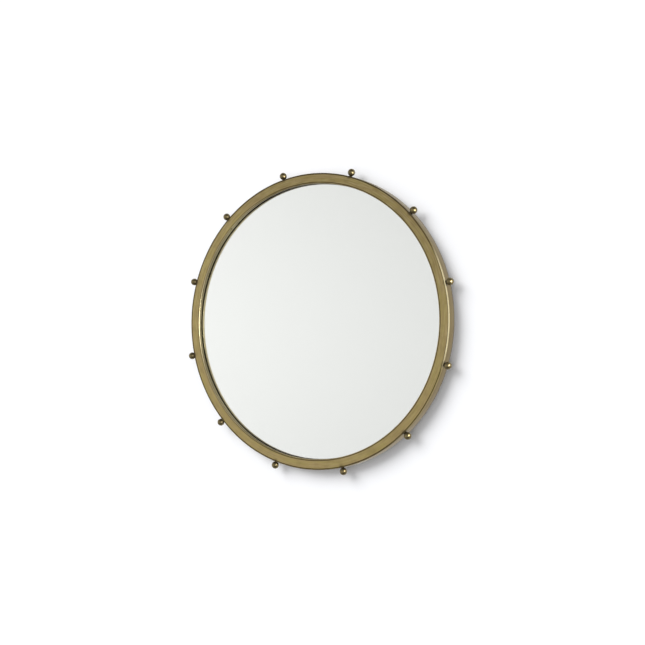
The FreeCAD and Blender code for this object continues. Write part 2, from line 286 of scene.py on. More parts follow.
def frame_brass(name, brass, seed):
    """Aged brass of the rolled rings: streaked, clouded, dirty in joints, with painted highlights
    and painted shade on edges, corners and the top.
    """
    material, plan = new_material(name)
    vector = plan.place()
    x, y, z = plan.numbers(vector)
    radius = plan.from_axis(vector)
    east = x / radius
    north = z / radius
    across = radius + y + seed
    behind_front = y - FRONT
    in_from_hoop = HOOP_OUTSIDE - radius

    def round_ring(often, third):
        """Coordinates for a pattern that runs round the ring."""
        return plan.vector(east * often, north * often, third)

    # long streaks round the ring, at two widths
    broad = plan.noise(round_ring(5, across / brass.streak_width), detail=4.0)
    fine = plan.noise(round_ring(9, across / brass.brush_width), detail=3.0)
    clouds = plan.noise(vector + seed, scale=38.0, detail=4.0, roughness=0.6)
    specks = plan.noise(vector + seed, scale=520.0, detail=1.0)

    # grooves beside the face ring are dirty, and the hoop's back edge gets painted shade where it
    # meets the wall
    groove = abs(radius - HOOP_INSIDE).at_most(abs(radius - FACE_INSIDE))
    near_front = behind_front.fade(4 * MM, 2.5 * MM)
    # painted shade on the hoop's back edge where it meets the wall
    near_wall = (WALL - y).fade(7 * MM, 1 * MM) * in_from_hoop.fade(2 * MM, 1 * MM)
    joint_dirt_and_wall_shade = (groove.fade(1.6 * MM, 0.5 * MM) * near_front).at_least(near_wall * 0.6)

    # painted shade in the corner between lip and glass, left off the left side, where light falls
    # on the lip
    by_glass = (LIP_BACK - y).fade(5.5 * MM, 2 * MM) * radius.fade(LIP_OUTSIDE, SIGHT_RADIUS)
    painted_corner_shade = by_glass * east.fade(-0.85, -0.5) * (0.75 + 0.5 * (clouds - 0.5))

    # brazing heat round the foot of each ball
    turn = plan.node("ShaderNodeMath", {0: z, 1: x}, operation="ARCTAN2") / (2 * math.pi)
    first_turn = ball_angle(BALLS[0]) / (2 * math.pi)
    step = (turn * len(BALLS) - first_turn * len(BALLS) + 0.5).fraction() - 0.5
    arc = step * (2 * math.pi * HOOP_OUTSIDE / len(BALLS))
    deep = y - BALL_AXIS_Y
    foot = (arc * arc + in_from_hoop * in_from_hoop + deep * deep) ** 0.5
    heat = foot.fade(12 * MM, 4.5 * MM) * clouds.fade(0.3, 0.6, 0.4, 1.0)

    # painted highlight on the hoop's front edge on the right and on the lip's inner edge on the
    # left, where light falls, and painted shade on the hoop's front edge elsewhere
    uneven = plan.noise(round_ring(16, seed), detail=3.0).fade(0.3, 0.62)
    rightwards = east * math.cos(HIGHLIGHT_MIDDLE) + north * math.sin(HIGHLIGHT_MIDDLE)
    lit_side_out = rightwards.fade(math.cos(HIGHLIGHT_END), math.cos(HIGHLIGHT_HALF))
    hoop_edge = in_from_hoop.fade(3.2 * MM, 2.7 * MM) * behind_front.fade(2.8 * MM, 1.6 * MM)
    painted_highlight_out = hoop_edge * lit_side_out * (0.9 + 0.1 * uneven)
    lit_side_in = east.fade(-0.3, -0.75)
    inner_edge = (radius - SIGHT_RADIUS) + 0.12 * behind_front
    painted_highlight_in = inner_edge.fade(3.3 * MM, 1.3 * MM) * lit_side_in * 0.55
    wear_and_painted_highlight = painted_highlight_out.at_least(painted_highlight_in)
    # painted shade on the hoop's front outer edge, except on the right, strongest at the top
    outer_edge = in_from_hoop + behind_front
    painted_edge_shade = outer_edge.fade(2.8 * MM, 1.2 * MM) * (1 - east.fade(0.6, 0.9))
    painted_edge_shade = painted_edge_shade * (0.6 + 0.4 * uneven) * north.fade(-0.7, 0.4, 0.75, 1.0)

    # painted shade towards the top of the ring, and on the hoop's outer wall, most of all below
    upwards = north * math.sin(SHADE_MIDDLE) + east * math.cos(SHADE_MIDDLE)
    tarnish_and_shade = upwards.fade(0.1, 1.0) * (0.7 + 0.6 * (clouds - 0.5))
    # painted shade on the hoop's outer wall, strongest below
    painted_outer_shade = in_from_hoop.fade(1.2 * MM, 0.4 * MM) * behind_front.fade(2 * MM, 4 * MM)
    painted_outer_shade = painted_outer_shade * north.fade(0.1, -0.4, 0.64, 0.78)
    upper = north.fade(-0.6, 0.7, 0.5, 1.0)

    base = plan.blend(broad.fade(0.38, 0.62), colour(brass.olive), colour(brass.brown))
    for factor, over in (
        (clouds.fade(0.46, 0.66) * 0.35, shade(brass.brown, 0.7)),
        (fine.fade(0.5, 0.64) * upper * 0.25, shade(brass.wear_and_painted_highlight, 0.75)),
        (fine.fade(0.5, 0.36) * upper * 0.35, shade(brass.brown, 0.5)),
        (specks.fade(0.64, 0.78) * 0.35, shade(brass.brown, 0.4)),
        # painted shade, darker towards the top of the ring
        (tarnish_and_shade * 0.4, shade(brass.brown, 0.35)),
        # painted shade on the hoop's outer wall
        (painted_outer_shade, brass.outer_wall_shade),
        (heat * 0.75, brass.oxide_and_shade),
        # dirty grooves, and painted shade at the wall and in the corner of lip and glass
        (joint_dirt_and_wall_shade.at_least(painted_corner_shade) * 0.9, brass.oxide_and_shade),
        # painted shade on the hoop's front edge
        (painted_edge_shade * 0.92, brass.oxide_and_shade),
        # painted highlight on the edges
        (wear_and_painted_highlight, brass.wear_and_painted_highlight),
    ):
        base = plan.blend(factor, base, colour(over))
    rough = brass.roughness + 0.14 * (broad - 0.5) + 0.1 * (clouds - 0.5)
    rough = rough + 0.15 * joint_dirt_and_wall_shade - 0.12 * wear_and_painted_highlight
    brushed = plan.bump(fine, brass.brush_depth, 0.6)
    waves = plan.noise(round_ring(9, across * 30), detail=2.0)
    planished = plan.bump(waves, brass.wave_depth, 1.0, over=brushed)
    plan.surface({"Base Color": base, "Metallic": 1.0, "Roughness": rough, "Normal": planished})
    return material


def ball_brass(brass):
    """Turned balls: clouded, finely scratched, darker towards the neck."""
    material, plan = new_material("ball_brass")
    vector = plan.place()
    clouds = plan.noise(vector, scale=130.0, detail=4.0, roughness=0.6)
    scratches = plan.noise(vector * (1.0, 1.0, 0.25), scale=2600.0, detail=2.0)
    by_hoop = (plan.from_axis(vector) - HOOP_OUTSIDE).fade(9 * MM, 1 * MM)
    base = plan.blend(clouds.fade(0.35, 0.7), colour(brass.ball), colour(shade(brass.ball, 0.72)))
    base = plan.blend(scratches.fade(0.55, 0.75) * 0.25, base, colour(brass.wear_and_painted_highlight))
    base = plan.blend(by_hoop * 0.8, base, colour(brass.oxide_and_shade))
    rough = brass.ball_roughness + 0.12 * (clouds - 0.5) + 0.15 * by_hoop
    normal = plan.bump(scratches, 0.01 * MM, 0.5)
    plan.surface({"Base Color": base, "Metallic": 1.0, "Roughness": rough, "Normal": normal})
    return material


def burnt_braze(brass):
    """Blackened brazing in the corner between ball and hoop."""
    material, plan = new_material("burnt_braze")
    crust = plan.noise(plan.place(), scale=900.0, detail=4.0, roughness=0.65)
    burnt, bare = colour(shade(brass.oxide_and_shade, 0.6)), colour(shade(brass.brown, 0.5))
    plan.surface({
        "Base Color": plan.blend(crust.fade(0.4, 0.7), burnt, bare),
        "Metallic": 0.8,
        "Roughness": 0.55 + 0.2 * crust,
        "Normal": plan.bump(crust, 0.15 * MM, 0.7),
    })
    return material


def clear_glass(glass):
    """Clear float glass, faintly green."""
    material, plan = new_material("clear_glass")
    ripple = plan.noise(plan.place(), scale=6.0, detail=1.0)
    plan.surface({
        "Base Color": colour(glass.tint),
        "Metallic": 0.0,
        "Roughness": 0.0,
        "IOR": 1.52,
        "Transmission Weight": 1.0,
        "Normal": plan.bump(ripple, 0.01 * MM, 0.2),
    })
    return material


def silvering(glass):
    """Silver behind the glass, tarnished at its rim."""
    material, plan = new_material("silvering")
    vector = plan.place()
    blotch = plan.noise(vector, scale=260.0, detail=5.0, roughness=0.65)
    creep = plan.from_axis(vector) + (blotch - 0.5) * 3 * MM
    tarnish_and_shade = creep.fade(GLASS_RADIUS - 5 * MM, GLASS_RADIUS - 1 * MM)
    base = plan.blend(tarnish_and_shade, colour(glass.silver), colour(glass.tarnish_and_shade))
    plan.surface({"Base Color": base, "Metallic": 1.0, "Roughness": 0.5 * tarnish_and_shade})
    return material


def foam(glass):
    """Black closed-cell tape."""
    material, plan = new_material("foam")
    cells = plan.node("ShaderNodeTexVoronoi", {"Vector": plan.place(), "Scale": 2500.0})
    base = plan.blend(cells, colour(glass.foam), colour(shade(glass.foam, 2.2)))
    normal = plan.bump(cells, 0.2 * MM, 0.6)
    plan.surface({"Base Color": base, "Roughness": 0.85 - 0.1 * cells, "Normal": normal})
    return material


def fibreboard(back):
    """Raw fibreboard: felted brown fibres, sanded faces, darker sawn edge."""
    material, plan = new_material("fibreboard")
    vector = plan.place()
    fibres = plan.noise(vector * (1.0, 3.0, 0.35), scale=900.0, detail=5.0, roughness=0.7)
    cross = plan.noise(vector * (0.35, 3.0, 1.0) + 7.0, scale=1100.0, detail=4.0, roughness=0.7)
    cloud = plan.noise(vector, scale=9.0, detail=3.0)
    pale = fibres.fade(0.52, 0.72)
    dark = cross.fade(0.55, 0.75)
    edge = plan.from_axis(vector).fade(BOARD_RADIUS - 2 * MM, BOARD_RADIUS - 0.5 * MM)
    base = colour(back.board)
    for factor, lightness in (
        (cloud.fade(0.3, 0.7), 0.94),
        (pale * 0.5, 1.5),
        (dark * 0.6, 0.5),
        (edge * 0.5, 0.5),
    ):
        base = plan.blend(factor, base, colour(shade(back.board, lightness)))
    normal = plan.bump(fibres, 0.08 * MM, 0.5)
    plan.surface({"Base Color": base, "Roughness": 0.78 + 0.12 * dark, "Normal": normal})
    return material


def zinc_plate(name, back, lightness=1.0):
    """Bright zinc with faint straw passivation and handling marks."""
    material, plan = new_material(name)
    vector = plan.place()
    cloud = plan.noise(vector, scale=160.0, detail=4.0, roughness=0.6)
    straw = plan.noise(vector + 3.0, scale=60.0, detail=3.0)
    scuffs = plan.noise(vector * (1.0, 1.0, 0.2), scale=1800.0, detail=3.0)
    worn = scuffs.fade(0.6, 0.75)
    zinc = shade(back.zinc, lightness)
    base = plan.blend(cloud.fade(0.3, 0.7), colour(zinc), colour(shade(zinc, 0.8)))
    base = plan.blend(straw.fade(0.45, 0.75) * 0.5, base, colour(shade(back.straw, lightness)))
    base = plan.blend(worn * 0.5, base, colour(shade(zinc, 0.5)))
    rough = 0.3 + 0.2 * (cloud - 0.4) + 0.15 * worn
    normal = plan.bump(scuffs, 0.02 * MM, 0.4)
    plan.surface({"Base Color": base, "Metallic": 1.0, "Roughness": rough, "Normal": normal})
    return material


def finish_node(node, material):
    """Puts a finish on a node of the frame in place of its plain one."""
    slots = NODES[node].data.materials
    slots.clear()
    slots.append(material)


# ---------------------------------------------------------------- building meshes


def lathe(name, outline, steps):
    """Mesh turned round +Z from (radius, height) points; a point on the axis closes an end."""
    sweep = bmesh.new()
    rings = []
    for radius, height in outline:
        count = 1 if radius == 0 else steps
        turn = 2 * math.pi / steps
        rings.append([
            sweep.verts.new((radius * math.cos(i * turn), radius * math.sin(i * turn), height))
            for i in range(count)
        ])
    for lower, upper in zip(rings, rings[1:]):
        for i in range(steps):
            j = (i + 1) % steps
            round_face = ((lower, i), (lower, j), (upper, j), (upper, i))
            corners = [ring[k % len(ring)] for ring, k in round_face]
            unique = list(dict.fromkeys(corners))
            if len(unique) > 2:
                sweep.faces.new(unique)
    bmesh.ops.recalc_face_normals(sweep, faces=sweep.faces)
    mesh = bpy.data.meshes.new(name)
    sweep.to_mesh(mesh)
    sweep.free()
    return mesh


def object_from(data, name):
    """Object in the scene with a mesh, a lamp or a camera as its data."""
    made = bpy.data.objects.new(name, data)
    bpy.context.scene.collection.objects.link(made)
    return made


def settle(source, name):
    """A plain-mesh copy of an object with its modifiers worked out; the source is removed."""
    bpy.context.view_layer.update()
    evaluated = source.evaluated_get(bpy.context.evaluated_depsgraph_get())
    mesh = bpy.data.meshes.new_from_object(evaluated)
    bpy.data.objects.remove(source)
    mesh.name = name
    return object_from(mesh, name)


def set_inputs(modifier, values):
    """Sets a geometry modifier's inputs by the names of the tree's sockets."""
    for item in modifier.node_group.interface.items_tree:
        if item.item_type == "SOCKET" and item.in_out == "INPUT" and item.name in values:
            modifier[item.identifier] = values[item.name]


def run_tree(tree, mesh, name, values):
    """Runs a geometry tree on a mesh and returns the plain result."""
    source = object_from(mesh, name + "_source")
    modifier = source.modifiers.new("tree", "NODES")
    modifier.node_group = tree
    set_inputs(modifier, values)
    return settle(source, name)


def new_tree(name, inputs):
    """A geometry tree with only its geometry input and the named inputs, each of its kind."""
    tree = bpy.data.node_groups.new(name, "GeometryNodeTree")
    tree.interface.new_socket("Geometry", in_out="INPUT", socket_type="NodeSocketGeometry")
    for label, kind in inputs.items():
        tree.interface.new_socket(label, in_out="INPUT", socket_type=f"NodeSocket{kind}")
    tree.interface.new_socket("Geometry", in_out="OUTPUT", socket_type="NodeSocketGeometry")
    plan = Plan(tree)
    return tree, plan, plan.node("NodeGroupInput", out="Geometry")


def end_tree(plan, geometry, material):
    """Gives a tree's geometry its material and puts it out."""
    sockets = {"Geometry": geometry, "Material": material}
    painted = plan.node("GeometryNodeSetMaterial", sockets)
    plan.node("NodeGroupOutput", {"Geometry": painted})


def stamp_tree():
    """Tree that sets a copy of one object on each point, turned along the point's own direction.

    Every point carries an "outward" direction. Each copy has a turn of its own about it and is
    worked over with noise, so that no two are alike.
    """
    inputs = {
        "Copy": "Object",
        "Spin": "Float",
        "Unevenness": "Float",
        "Grain": "Float",
        "Seed": "Int",
        "Material": "Material",
    }
    tree, plan, points = new_tree("stamp_on_points", inputs)
    name = {"Name": "outward"}
    outward = plan.node("GeometryNodeInputNamedAttribute", name, data_type="FLOAT_VECTOR")
    align = plan.node("FunctionNodeAlignRotationToVector", {"Vector": outward}, axis="Z")
    # sockets 2 and 3 are the least and greatest of a number, 8 is the seed
    spread = {2: 0.0, 3: points.other("Spin"), 8: points.other("Seed")}
    spin = plan.node("FunctionNodeRandomValue", spread, out=1, data_type="FLOAT")
    about_z = {"Axis": (0.0, 0.0, 1.0), "Angle": spin}
    own_turn = plan.node("FunctionNodeAxisAngleToRotation", about_z)
    turns = {0: align, 1: own_turn}
    turned = plan.node("FunctionNodeRotateRotation", turns, rotation_space="LOCAL")
    source = {"Object": points.other("Copy")}
    copy = plan.node("GeometryNodeObjectInfo", source, out="Geometry")
    placing = {"Points": points, "Instance": copy, "Rotation": turned}
    stamped = plan.node("GeometryNodeInstanceOnPoints", placing)
    solid = plan.node("GeometryNodeRealizeInstances", {"Geometry": stamped})
    where = plan.node("GeometryNodeInputPosition")
    grain = {"Vector": where, "Scale": points.other("Grain"), "Detail": 2.0}
    rough = plan.node("ShaderNodeTexNoise", grain, out="Color")
    shift = (rough - 0.5) * points.other("Unevenness")
    uneven = plan.node("GeometryNodeSetPosition", {"Geometry": solid, "Offset": shift})
    end_tree(plan, uneven, points.other("Material"))
    return tree


def sweep_tree():
    """Tree that sweeps a closed section round the mirror, then dresses its front edges by hand.

    The section lies in XY, with X the distance from the path's circle and Y the depth. The front
    face rises and falls a little round the ring, the same on every ring, and the outer and inner
    edges are dressed back unevenly.
    """
    inputs = {
        "Path Radius": "Float",
        "Steps": "Int",
        "Front": "Float",
        "Outer Edge": "Float",
        "Inner Edge": "Float",
        "Rise": "Float",
        "Dressing": "Float",
        "Material": "Material",
    }
    tree, plan, section = new_tree("swept_ring", inputs)
    profile = plan.node("GeometryNodeMeshToCurve", {"Mesh": section})
    sizes = {"Resolution": section.other("Steps"), "Radius": section.other("Path Radius")}
    path = plan.node("GeometryNodeCurvePrimitiveCircle", sizes)
    swept = plan.node("GeometryNodeCurveToMesh", {"Curve": path, "Profile Curve": profile})
    turn = {"Geometry": swept, "Rotation": (math.pi / 2, 0.0, 0.0)}
    stood = plan.node("GeometryNodeTransform", turn)

    where = plan.node("GeometryNodeInputPosition")
    x, y, z = plan.numbers(where)
    radius = plan.from_axis(where)
    outward = plan.vector(x / radius, 0.0, z / radius)
    near_front = (y - section.other("Front")).fade(3.0 * MM, 1.5 * MM)
    slow = plan.noise(outward * 5.0, detail=2.0)
    quick = plan.noise(outward * 22.0 + 3.0, detail=2.0)
    rim = (section.other("Outer Edge") - radius).fade(3.0 * MM, 0.5 * MM)
    brink = (radius - section.other("Inner Edge")).fade(1.5 * MM, 0.2 * MM)
    deeper = plan.vector(0.0, section.other("Rise") * slow * near_front, 0.0)
    bitten = section.other("Dressing") * quick * near_front
    offset = deeper + outward * (bitten * (brink - rim))
    dressed = plan.node("GeometryNodeSetPosition", {"Geometry": stood, "Offset": offset})
    solid = plan.node("GeometryNodeRealizeInstances", {"Geometry": dressed})
    end_tree(plan, solid, section.other("Material"))
    return tree


def section_points(corners, arc_steps=6):
    """Outline through (radius, y, rounding) corners, with its rounded corners as short arcs."""
    points = []
    for i, (radius, y, rounding) in enumerate(corners):
        corner = Vector((radius, y))
        if rounding == 0:
            points.append(corner)
            continue
        back = (Vector(corners[i - 1][:2]) - corner).normalized()
        ahead = (Vector(corners[(i + 1) % len(corners)][:2]) - corner).normalized()
        centre = corner + (back + ahead) * rounding
        for step in range(arc_steps + 1):
            turn = math.pi / 2 * step / arc_steps
            inwards = ahead * rounding * math.cos(turn)
            points.append(centre - inwards - back * rounding * math.sin(turn))
    return points


def make_ring(name, corners, material, brass):
    """Ring that stands for a node of the frame, swept from its section."""
    path_radius = corners[0][0]
    points = section_points(corners)
    mesh = bpy.data.meshes.new(name)
    edges = [(i, (i + 1) % len(points)) for i in range(len(points))]
    mesh.from_pydata([(p.x - path_radius, p.y, 0.0) for p in points], edges, [])
    values = {
        "Path Radius": path_radius,
        "Steps": RING_STEPS,
        "Front": FRONT,
        "Outer Edge": HOOP_OUTSIDE,
        "Inner Edge": SIGHT_RADIUS,
        "Rise": brass.rise,
        "Dressing": brass.dressing,
        "Material": material,
    }
    return run_tree(sweep_tree(), mesh, name, values)


def stamp(name, master, places, directions, values):
    """One piece made of a copy of an object on each place; the object itself is removed."""
    mesh = bpy.data.meshes.new(f"{name}_points")
    mesh.from_pydata([tuple(place) for place in places], [], [])
    outward = mesh.attributes.new("outward", "FLOAT_VECTOR", "POINT")
    outward.data.foreach_set("vector", [value for way in directions for value in way])
    stamped = run_tree(stamp_tree(), mesh, name, {"Copy": master, **values})
    bpy.data.objects.remove(master)
    return stamped


def cross_recess_screw(head_radius, head_height, shank_radius, length):
    """Pan-head screw down -Z from its crown at the origin, with a tapered cross recess."""
    flat = head_height / 3
    rise = head_height - flat
    dome = (head_radius**2 + rise**2) / (2 * rise)
    outline = [(0.0, -length), (shank_radius * 0.5, -length)]
    # rolled thread, as rings of crest and root
    pitch = shank_radius * 0.55
    depth = shank_radius * 0.15
    root = shank_radius - depth
    turns = int((length - head_height) / pitch) - 1
    for i in range(turns):
        foot = -length + (i + 0.5) * pitch
        outline.append((root, foot))
        outline.append((shank_radius, foot + pitch / 2))
    outline += [(root, -head_height - 0.2 * MM), (root, -head_height)]
    outline += [(head_radius * 0.97, -head_height), (head_radius, -head_height + 0.1 * MM)]
    dome_steps = 10
    for i in range(dome_steps + 1):
        radius = head_radius * (1 - i / dome_steps)
        outline.append((radius, math.sqrt(dome**2 - radius**2) - dome))
    head = object_from(lathe("screw", outline, SCREW_STEPS), "screw")

    cutter = bmesh.new()
    reach_out = head_radius * 0.52
    width = head_radius * 0.15
    low = -head_height * 0.75
    for turn in (0, math.pi / 2):
        blade = bmesh.ops.create_cube(cutter, size=1.0)["verts"]
        for vertex in blade:
            taper = 0.35 if vertex.co.z < 0 else 1.0
            vertex.co = Vector((
                math.copysign(reach_out * taper, vertex.co.x),
                math.copysign(width * (0.8 if taper < 1 else 1.1), vertex.co.y),
                low if vertex.co.z < 0 else head_height * 0.2,
            ))
        bmesh.ops.rotate(cutter, verts=blade, cent=(0, 0, 0), matrix=Matrix.Rotation(turn, 3, "Z"))
    mesh = bpy.data.meshes.new("recess")
    cutter.to_mesh(mesh)
    cutter.free()
    recess = object_from(mesh, "recess")
    cut = head.modifiers.new("recess", "BOOLEAN")
    cut.operation = "DIFFERENCE"
    cut.solver = "EXACT"
    cut.use_self = True
    cut.object = recess
    screw = settle(head, "cross_recess_screw")
    bpy.data.objects.remove(recess)
    return screw


def smooth(piece, degrees):
    """Shades a piece smooth but for edges that turn by more than an angle."""
    mesh = piece.data
    mesh.shade_smooth()
    mesh.set_sharp_from_angle(angle=math.radians(degrees))


# ---------------------------------------------------------------- settings


class BrassSettings(bpy.types.PropertyGroup):
    """Finish of the aged brass."""

    olive: FloatVectorProperty(
        name="Olive", description="Greener streaks", default=(0.38, 0.304, 0.116), subtype="COLOR"
    )
    brown: FloatVectorProperty(
        name="Brown", description="Browner streaks", default=(0.386, 0.291, 0.133), subtype="COLOR"
    )
    # colour of worn brass in streaks and scratches, and of the painted highlight on edges
    wear_and_painted_highlight: FloatVectorProperty(
        name="Rubbed", description="Brass where handling has cleared the patina",
        default=(0.91, 0.79, 0.48), subtype="COLOR",
    )
    # colour of oxidised brass in grooves and round the balls, and of painted shade on edges and
    # corners
    oxide_and_shade: FloatVectorProperty(
        name="Oxide", description="Dark oxide in corners",
        default=(0.06, 0.045, 0.025), subtype="COLOR",
    )
    # colour of the painted shade on the hoop's outer wall
    outer_wall_shade: FloatVectorProperty(
        name="Stain", description="Dull brass of the hoop's outer wall",
        default=(0.15, 0.1, 0.025), subtype="COLOR",
    )
    ball: FloatVectorProperty(
        name="Ball", description="Brass of the balls", default=(0.19, 0.15, 0.072), subtype="COLOR"
    )
    roughness: FloatProperty(
        name="Roughness", description="Of the rings", default=0.36, min=0.0, max=1.0
    )
    ball_roughness: FloatProperty(
        name="Ball roughness", description="Of the balls", default=0.34, min=0.0, max=1.0
    )
    streak_width: FloatProperty(
        name="Streak width", description="Width of the long patina streaks",
        default=5 * MM, unit="LENGTH",
    )
    brush_width: FloatProperty(
        name="Brush width", description="Width of the brush marks", default=1.6 * MM, unit="LENGTH"
    )
    brush_depth: FloatProperty(
        name="Brush depth", description="Depth of the brush marks",
        default=0.02 * MM, unit="LENGTH",
    )
    wave_depth: FloatProperty(
        name="Wave depth", description="Height of the hand-worked waves",
        default=0.12 * MM, unit="LENGTH",
    )
    rise: FloatProperty(
        name="Rise", description="How far the front face rises and falls round the ring",
        default=0.35 * MM, unit="LENGTH",
    )
    dressing: FloatProperty(
        name="Dressing", description="Most that the front edges are dressed back",
        default=0.5 * MM, unit="LENGTH",
    )
    edge_round: FloatProperty(
        name="Edge round", description="Of the hoop's front edge", default=0.8 * MM, unit="LENGTH"
    )
    lip_round: FloatProperty(
        name="Lip round", description="Of the lip's front edge", default=1.2 * MM, unit="LENGTH"
    )
    weld_groove: FloatProperty(
        name="Weld groove", description="Bevel on each side of the face ring",
        default=0.5 * MM, unit="LENGTH",
    )
    deburr: FloatProperty(
        name="Deburr", description="Round of the edges that aren't dressed",
        default=0.3 * MM, unit="LENGTH",
    )


class GlassSettings(bpy.types.PropertyGroup):
    """Finish of the glass, its silver and its bedding."""

    tint: FloatVectorProperty(
        name="Tint", description="Colour of the glass", default=(0.97, 0.98, 0.97), subtype="COLOR"
    )
    silver: FloatVectorProperty(
        name="Silver", description="Colour of the silver",
        default=(0.93, 0.928, 0.921), subtype="COLOR",
    )
    tarnish_and_shade: FloatVectorProperty(
        name="Tarnish", description="Colour of the silver's rim",
        default=(0.05, 0.045, 0.04), subtype="COLOR",
    )
    silver_gap: FloatProperty(
        name="Silver gap", description="Between glass and silver", default=0.02 * MM, unit="LENGTH"
    )
    foam: FloatVectorProperty(
        name="Foam", description="Colour of the bedding tape",
        default=(0.012, 0.011, 0.010), subtype="COLOR",
    )


class BackSettings(bpy.types.PropertyGroup):
    """Finish of the board and hangers on the back."""

    board: FloatVectorProperty(
        name="Board", description="Colour of the fibreboard",
        default=(0.30, 0.185, 0.10), subtype="COLOR",
    )
    zinc: FloatVectorProperty(
        name="Zinc", description="Colour of the zinc plate",
        default=(0.60, 0.61, 0.63), subtype="COLOR",
    )
    straw: FloatVectorProperty(
        name="Straw", description="Colour of the film on the zinc",
        default=(0.62, 0.55, 0.36), subtype="COLOR",
    )


class StudioSettings(bpy.types.PropertyGroup):
    """Camera, wall and light."""

    azimuth: FloatProperty(
        name="Azimuth", description="Of the camera, to the right of straight on",
        default=math.radians(29.5), subtype="ANGLE",
    )
    elevation: FloatProperty(
        name="Elevation", description="Of the camera", default=math.radians(-0.82), subtype="ANGLE"
    )
    roll: FloatProperty(
        name="Roll", description="Of the camera", default=math.radians(1.555), subtype="ANGLE"
    )
    distance: FloatProperty(
        name="Distance", description="From the aim to the camera", default=2.862, unit="LENGTH"
    )
    aim_right: FloatProperty(
        name="Aim right", description="Of the mirror's centre", default=0.0325, unit="LENGTH"
    )
    aim_up: FloatProperty(
        name="Aim up", description="Of the mirror's centre", default=-0.0034, unit="LENGTH"
    )
    lens: FloatProperty(
        name="Lens", description="Focal length in millimetres on a 36 mm sensor", default=61.46
    )
    key_azimuth: FloatProperty(
        name="Key azimuth", description="Of the key lamp",
        default=math.radians(-40.5), subtype="ANGLE",
    )
    key_elevation: FloatProperty(
        name="Key elevation", description="Of the key lamp",
        default=math.radians(31.5), subtype="ANGLE",
    )
    key_spread: FloatProperty(
        name="Key spread", description="Width of the key lamp",
        default=math.radians(40), subtype="ANGLE",
    )
    key_radiance: FloatProperty(
        name="Key radiance", description="Brightness of the key lamp's disc", default=6.85
    )
    top_elevation: FloatProperty(
        name="Top elevation", description="Of the lamp over the mirror",
        default=math.radians(60), subtype="ANGLE",
    )
    top_spread: FloatProperty(
        name="Top spread", description="Width of the lamp over the mirror",
        default=math.radians(60), subtype="ANGLE",
    )
    top_radiance: FloatProperty(
        name="Top radiance", description="Brightness of the lamp over the mirror", default=0.744
    )
    window_azimuth: FloatProperty(
        name="Window azimuth", description="Of the window",
        default=math.radians(46), subtype="ANGLE",
    )
    window_spread: FloatProperty(
        name="Window spread", description="Width of the window",
        default=math.radians(28), subtype="ANGLE",
    )
    window_radiance: FloatProperty(
        name="Window radiance", description="Brightness of the window", default=4.5
    )
    glint_azimuth: FloatProperty(
        name="Glint azimuth", description="Of the small lamp",
        default=math.radians(71), subtype="ANGLE",
    )
    glint_elevation: FloatProperty(
        name="Glint elevation", description="Of the small lamp",
        default=math.radians(5), subtype="ANGLE",
    )
    glint_distance: FloatProperty(
        name="Glint distance", description="Of the small lamp", default=1.15, unit="LENGTH"
    )
    glint_size: FloatProperty(
        name="Glint size", description="Width of the small lamp", default=0.5, unit="LENGTH"
    )
    glint_power: FloatProperty(
        name="Glint power", description="Of the small lamp, in watts", default=17.0
    )
    wall: FloatVectorProperty(
        name="Wall", description="Colour of the wall",
        default=(0.86, 0.866, 0.885), subtype="COLOR",
    )
    wall_size: FloatProperty(
        name="Wall size", description="Side of the wall", default=16.0, unit="LENGTH"
    )
    wall_gap: FloatProperty(
        name="Wall gap", description="Between mirror and wall", default=0.2 * MM, unit="LENGTH"
    )


# ---------------------------------------------------------------- operators


class MIRROR_OT_dress_frame(bpy.types.Operator):
    """Sweeps the hoop, the face ring and the lip with hand-dressed edges, and ages their brass
    with painted highlights and shade
    """

    bl_idname = "mirror_piece.dress_frame"
    bl_label = "Dress frame"

    def execute(self, context):
        brass = context.scene.mirror_brass
        burr = brass.deburr
        groove = brass.weld_groove
        sections = {
            "outer_hoop": [
                (HOOP_INSIDE, FRONT, 0),
                (HOOP_OUTSIDE, FRONT, brass.edge_round),
                (HOOP_OUTSIDE, WALL, burr),
                (HOOP_INSIDE, WALL, burr),
            ],
            "face_ring": [
                (FACE_INSIDE, FRONT + groove, 0),
                (FACE_INSIDE + groove, FRONT, 0),
                (FACE_OUTSIDE - groove, FRONT, 0),
                (FACE_OUTSIDE, FRONT + groove, 0),
                (FACE_OUTSIDE, FACE_BACK, 0),
                (FACE_INSIDE, FACE_BACK, 0),
            ],
            "inner_lip": [
                (SIGHT_RADIUS, FRONT, brass.lip_round),
                (LIP_OUTSIDE, FRONT, 0),
                (LIP_OUTSIDE, LIP_BACK, 0),
                (SIGHT_RADIUS, LIP_BACK, burr),
            ],
        }
        slots = {"outer_hoop": "hoop_brass", "face_ring": "face_brass", "inner_lip": "lip_brass"}
        for node, corners in sections.items():
            finish = frame_brass(slots[node], brass, seed=0.0)
            ring = make_ring(f"dressed_{node}", corners, finish, brass)
            smooth(ring, 40)
            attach(ring, BODY)
            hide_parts(node)
        finish_node("board_tabs", frame_brass("tab_brass", brass, seed=5.7))
        return {"FINISHED"}


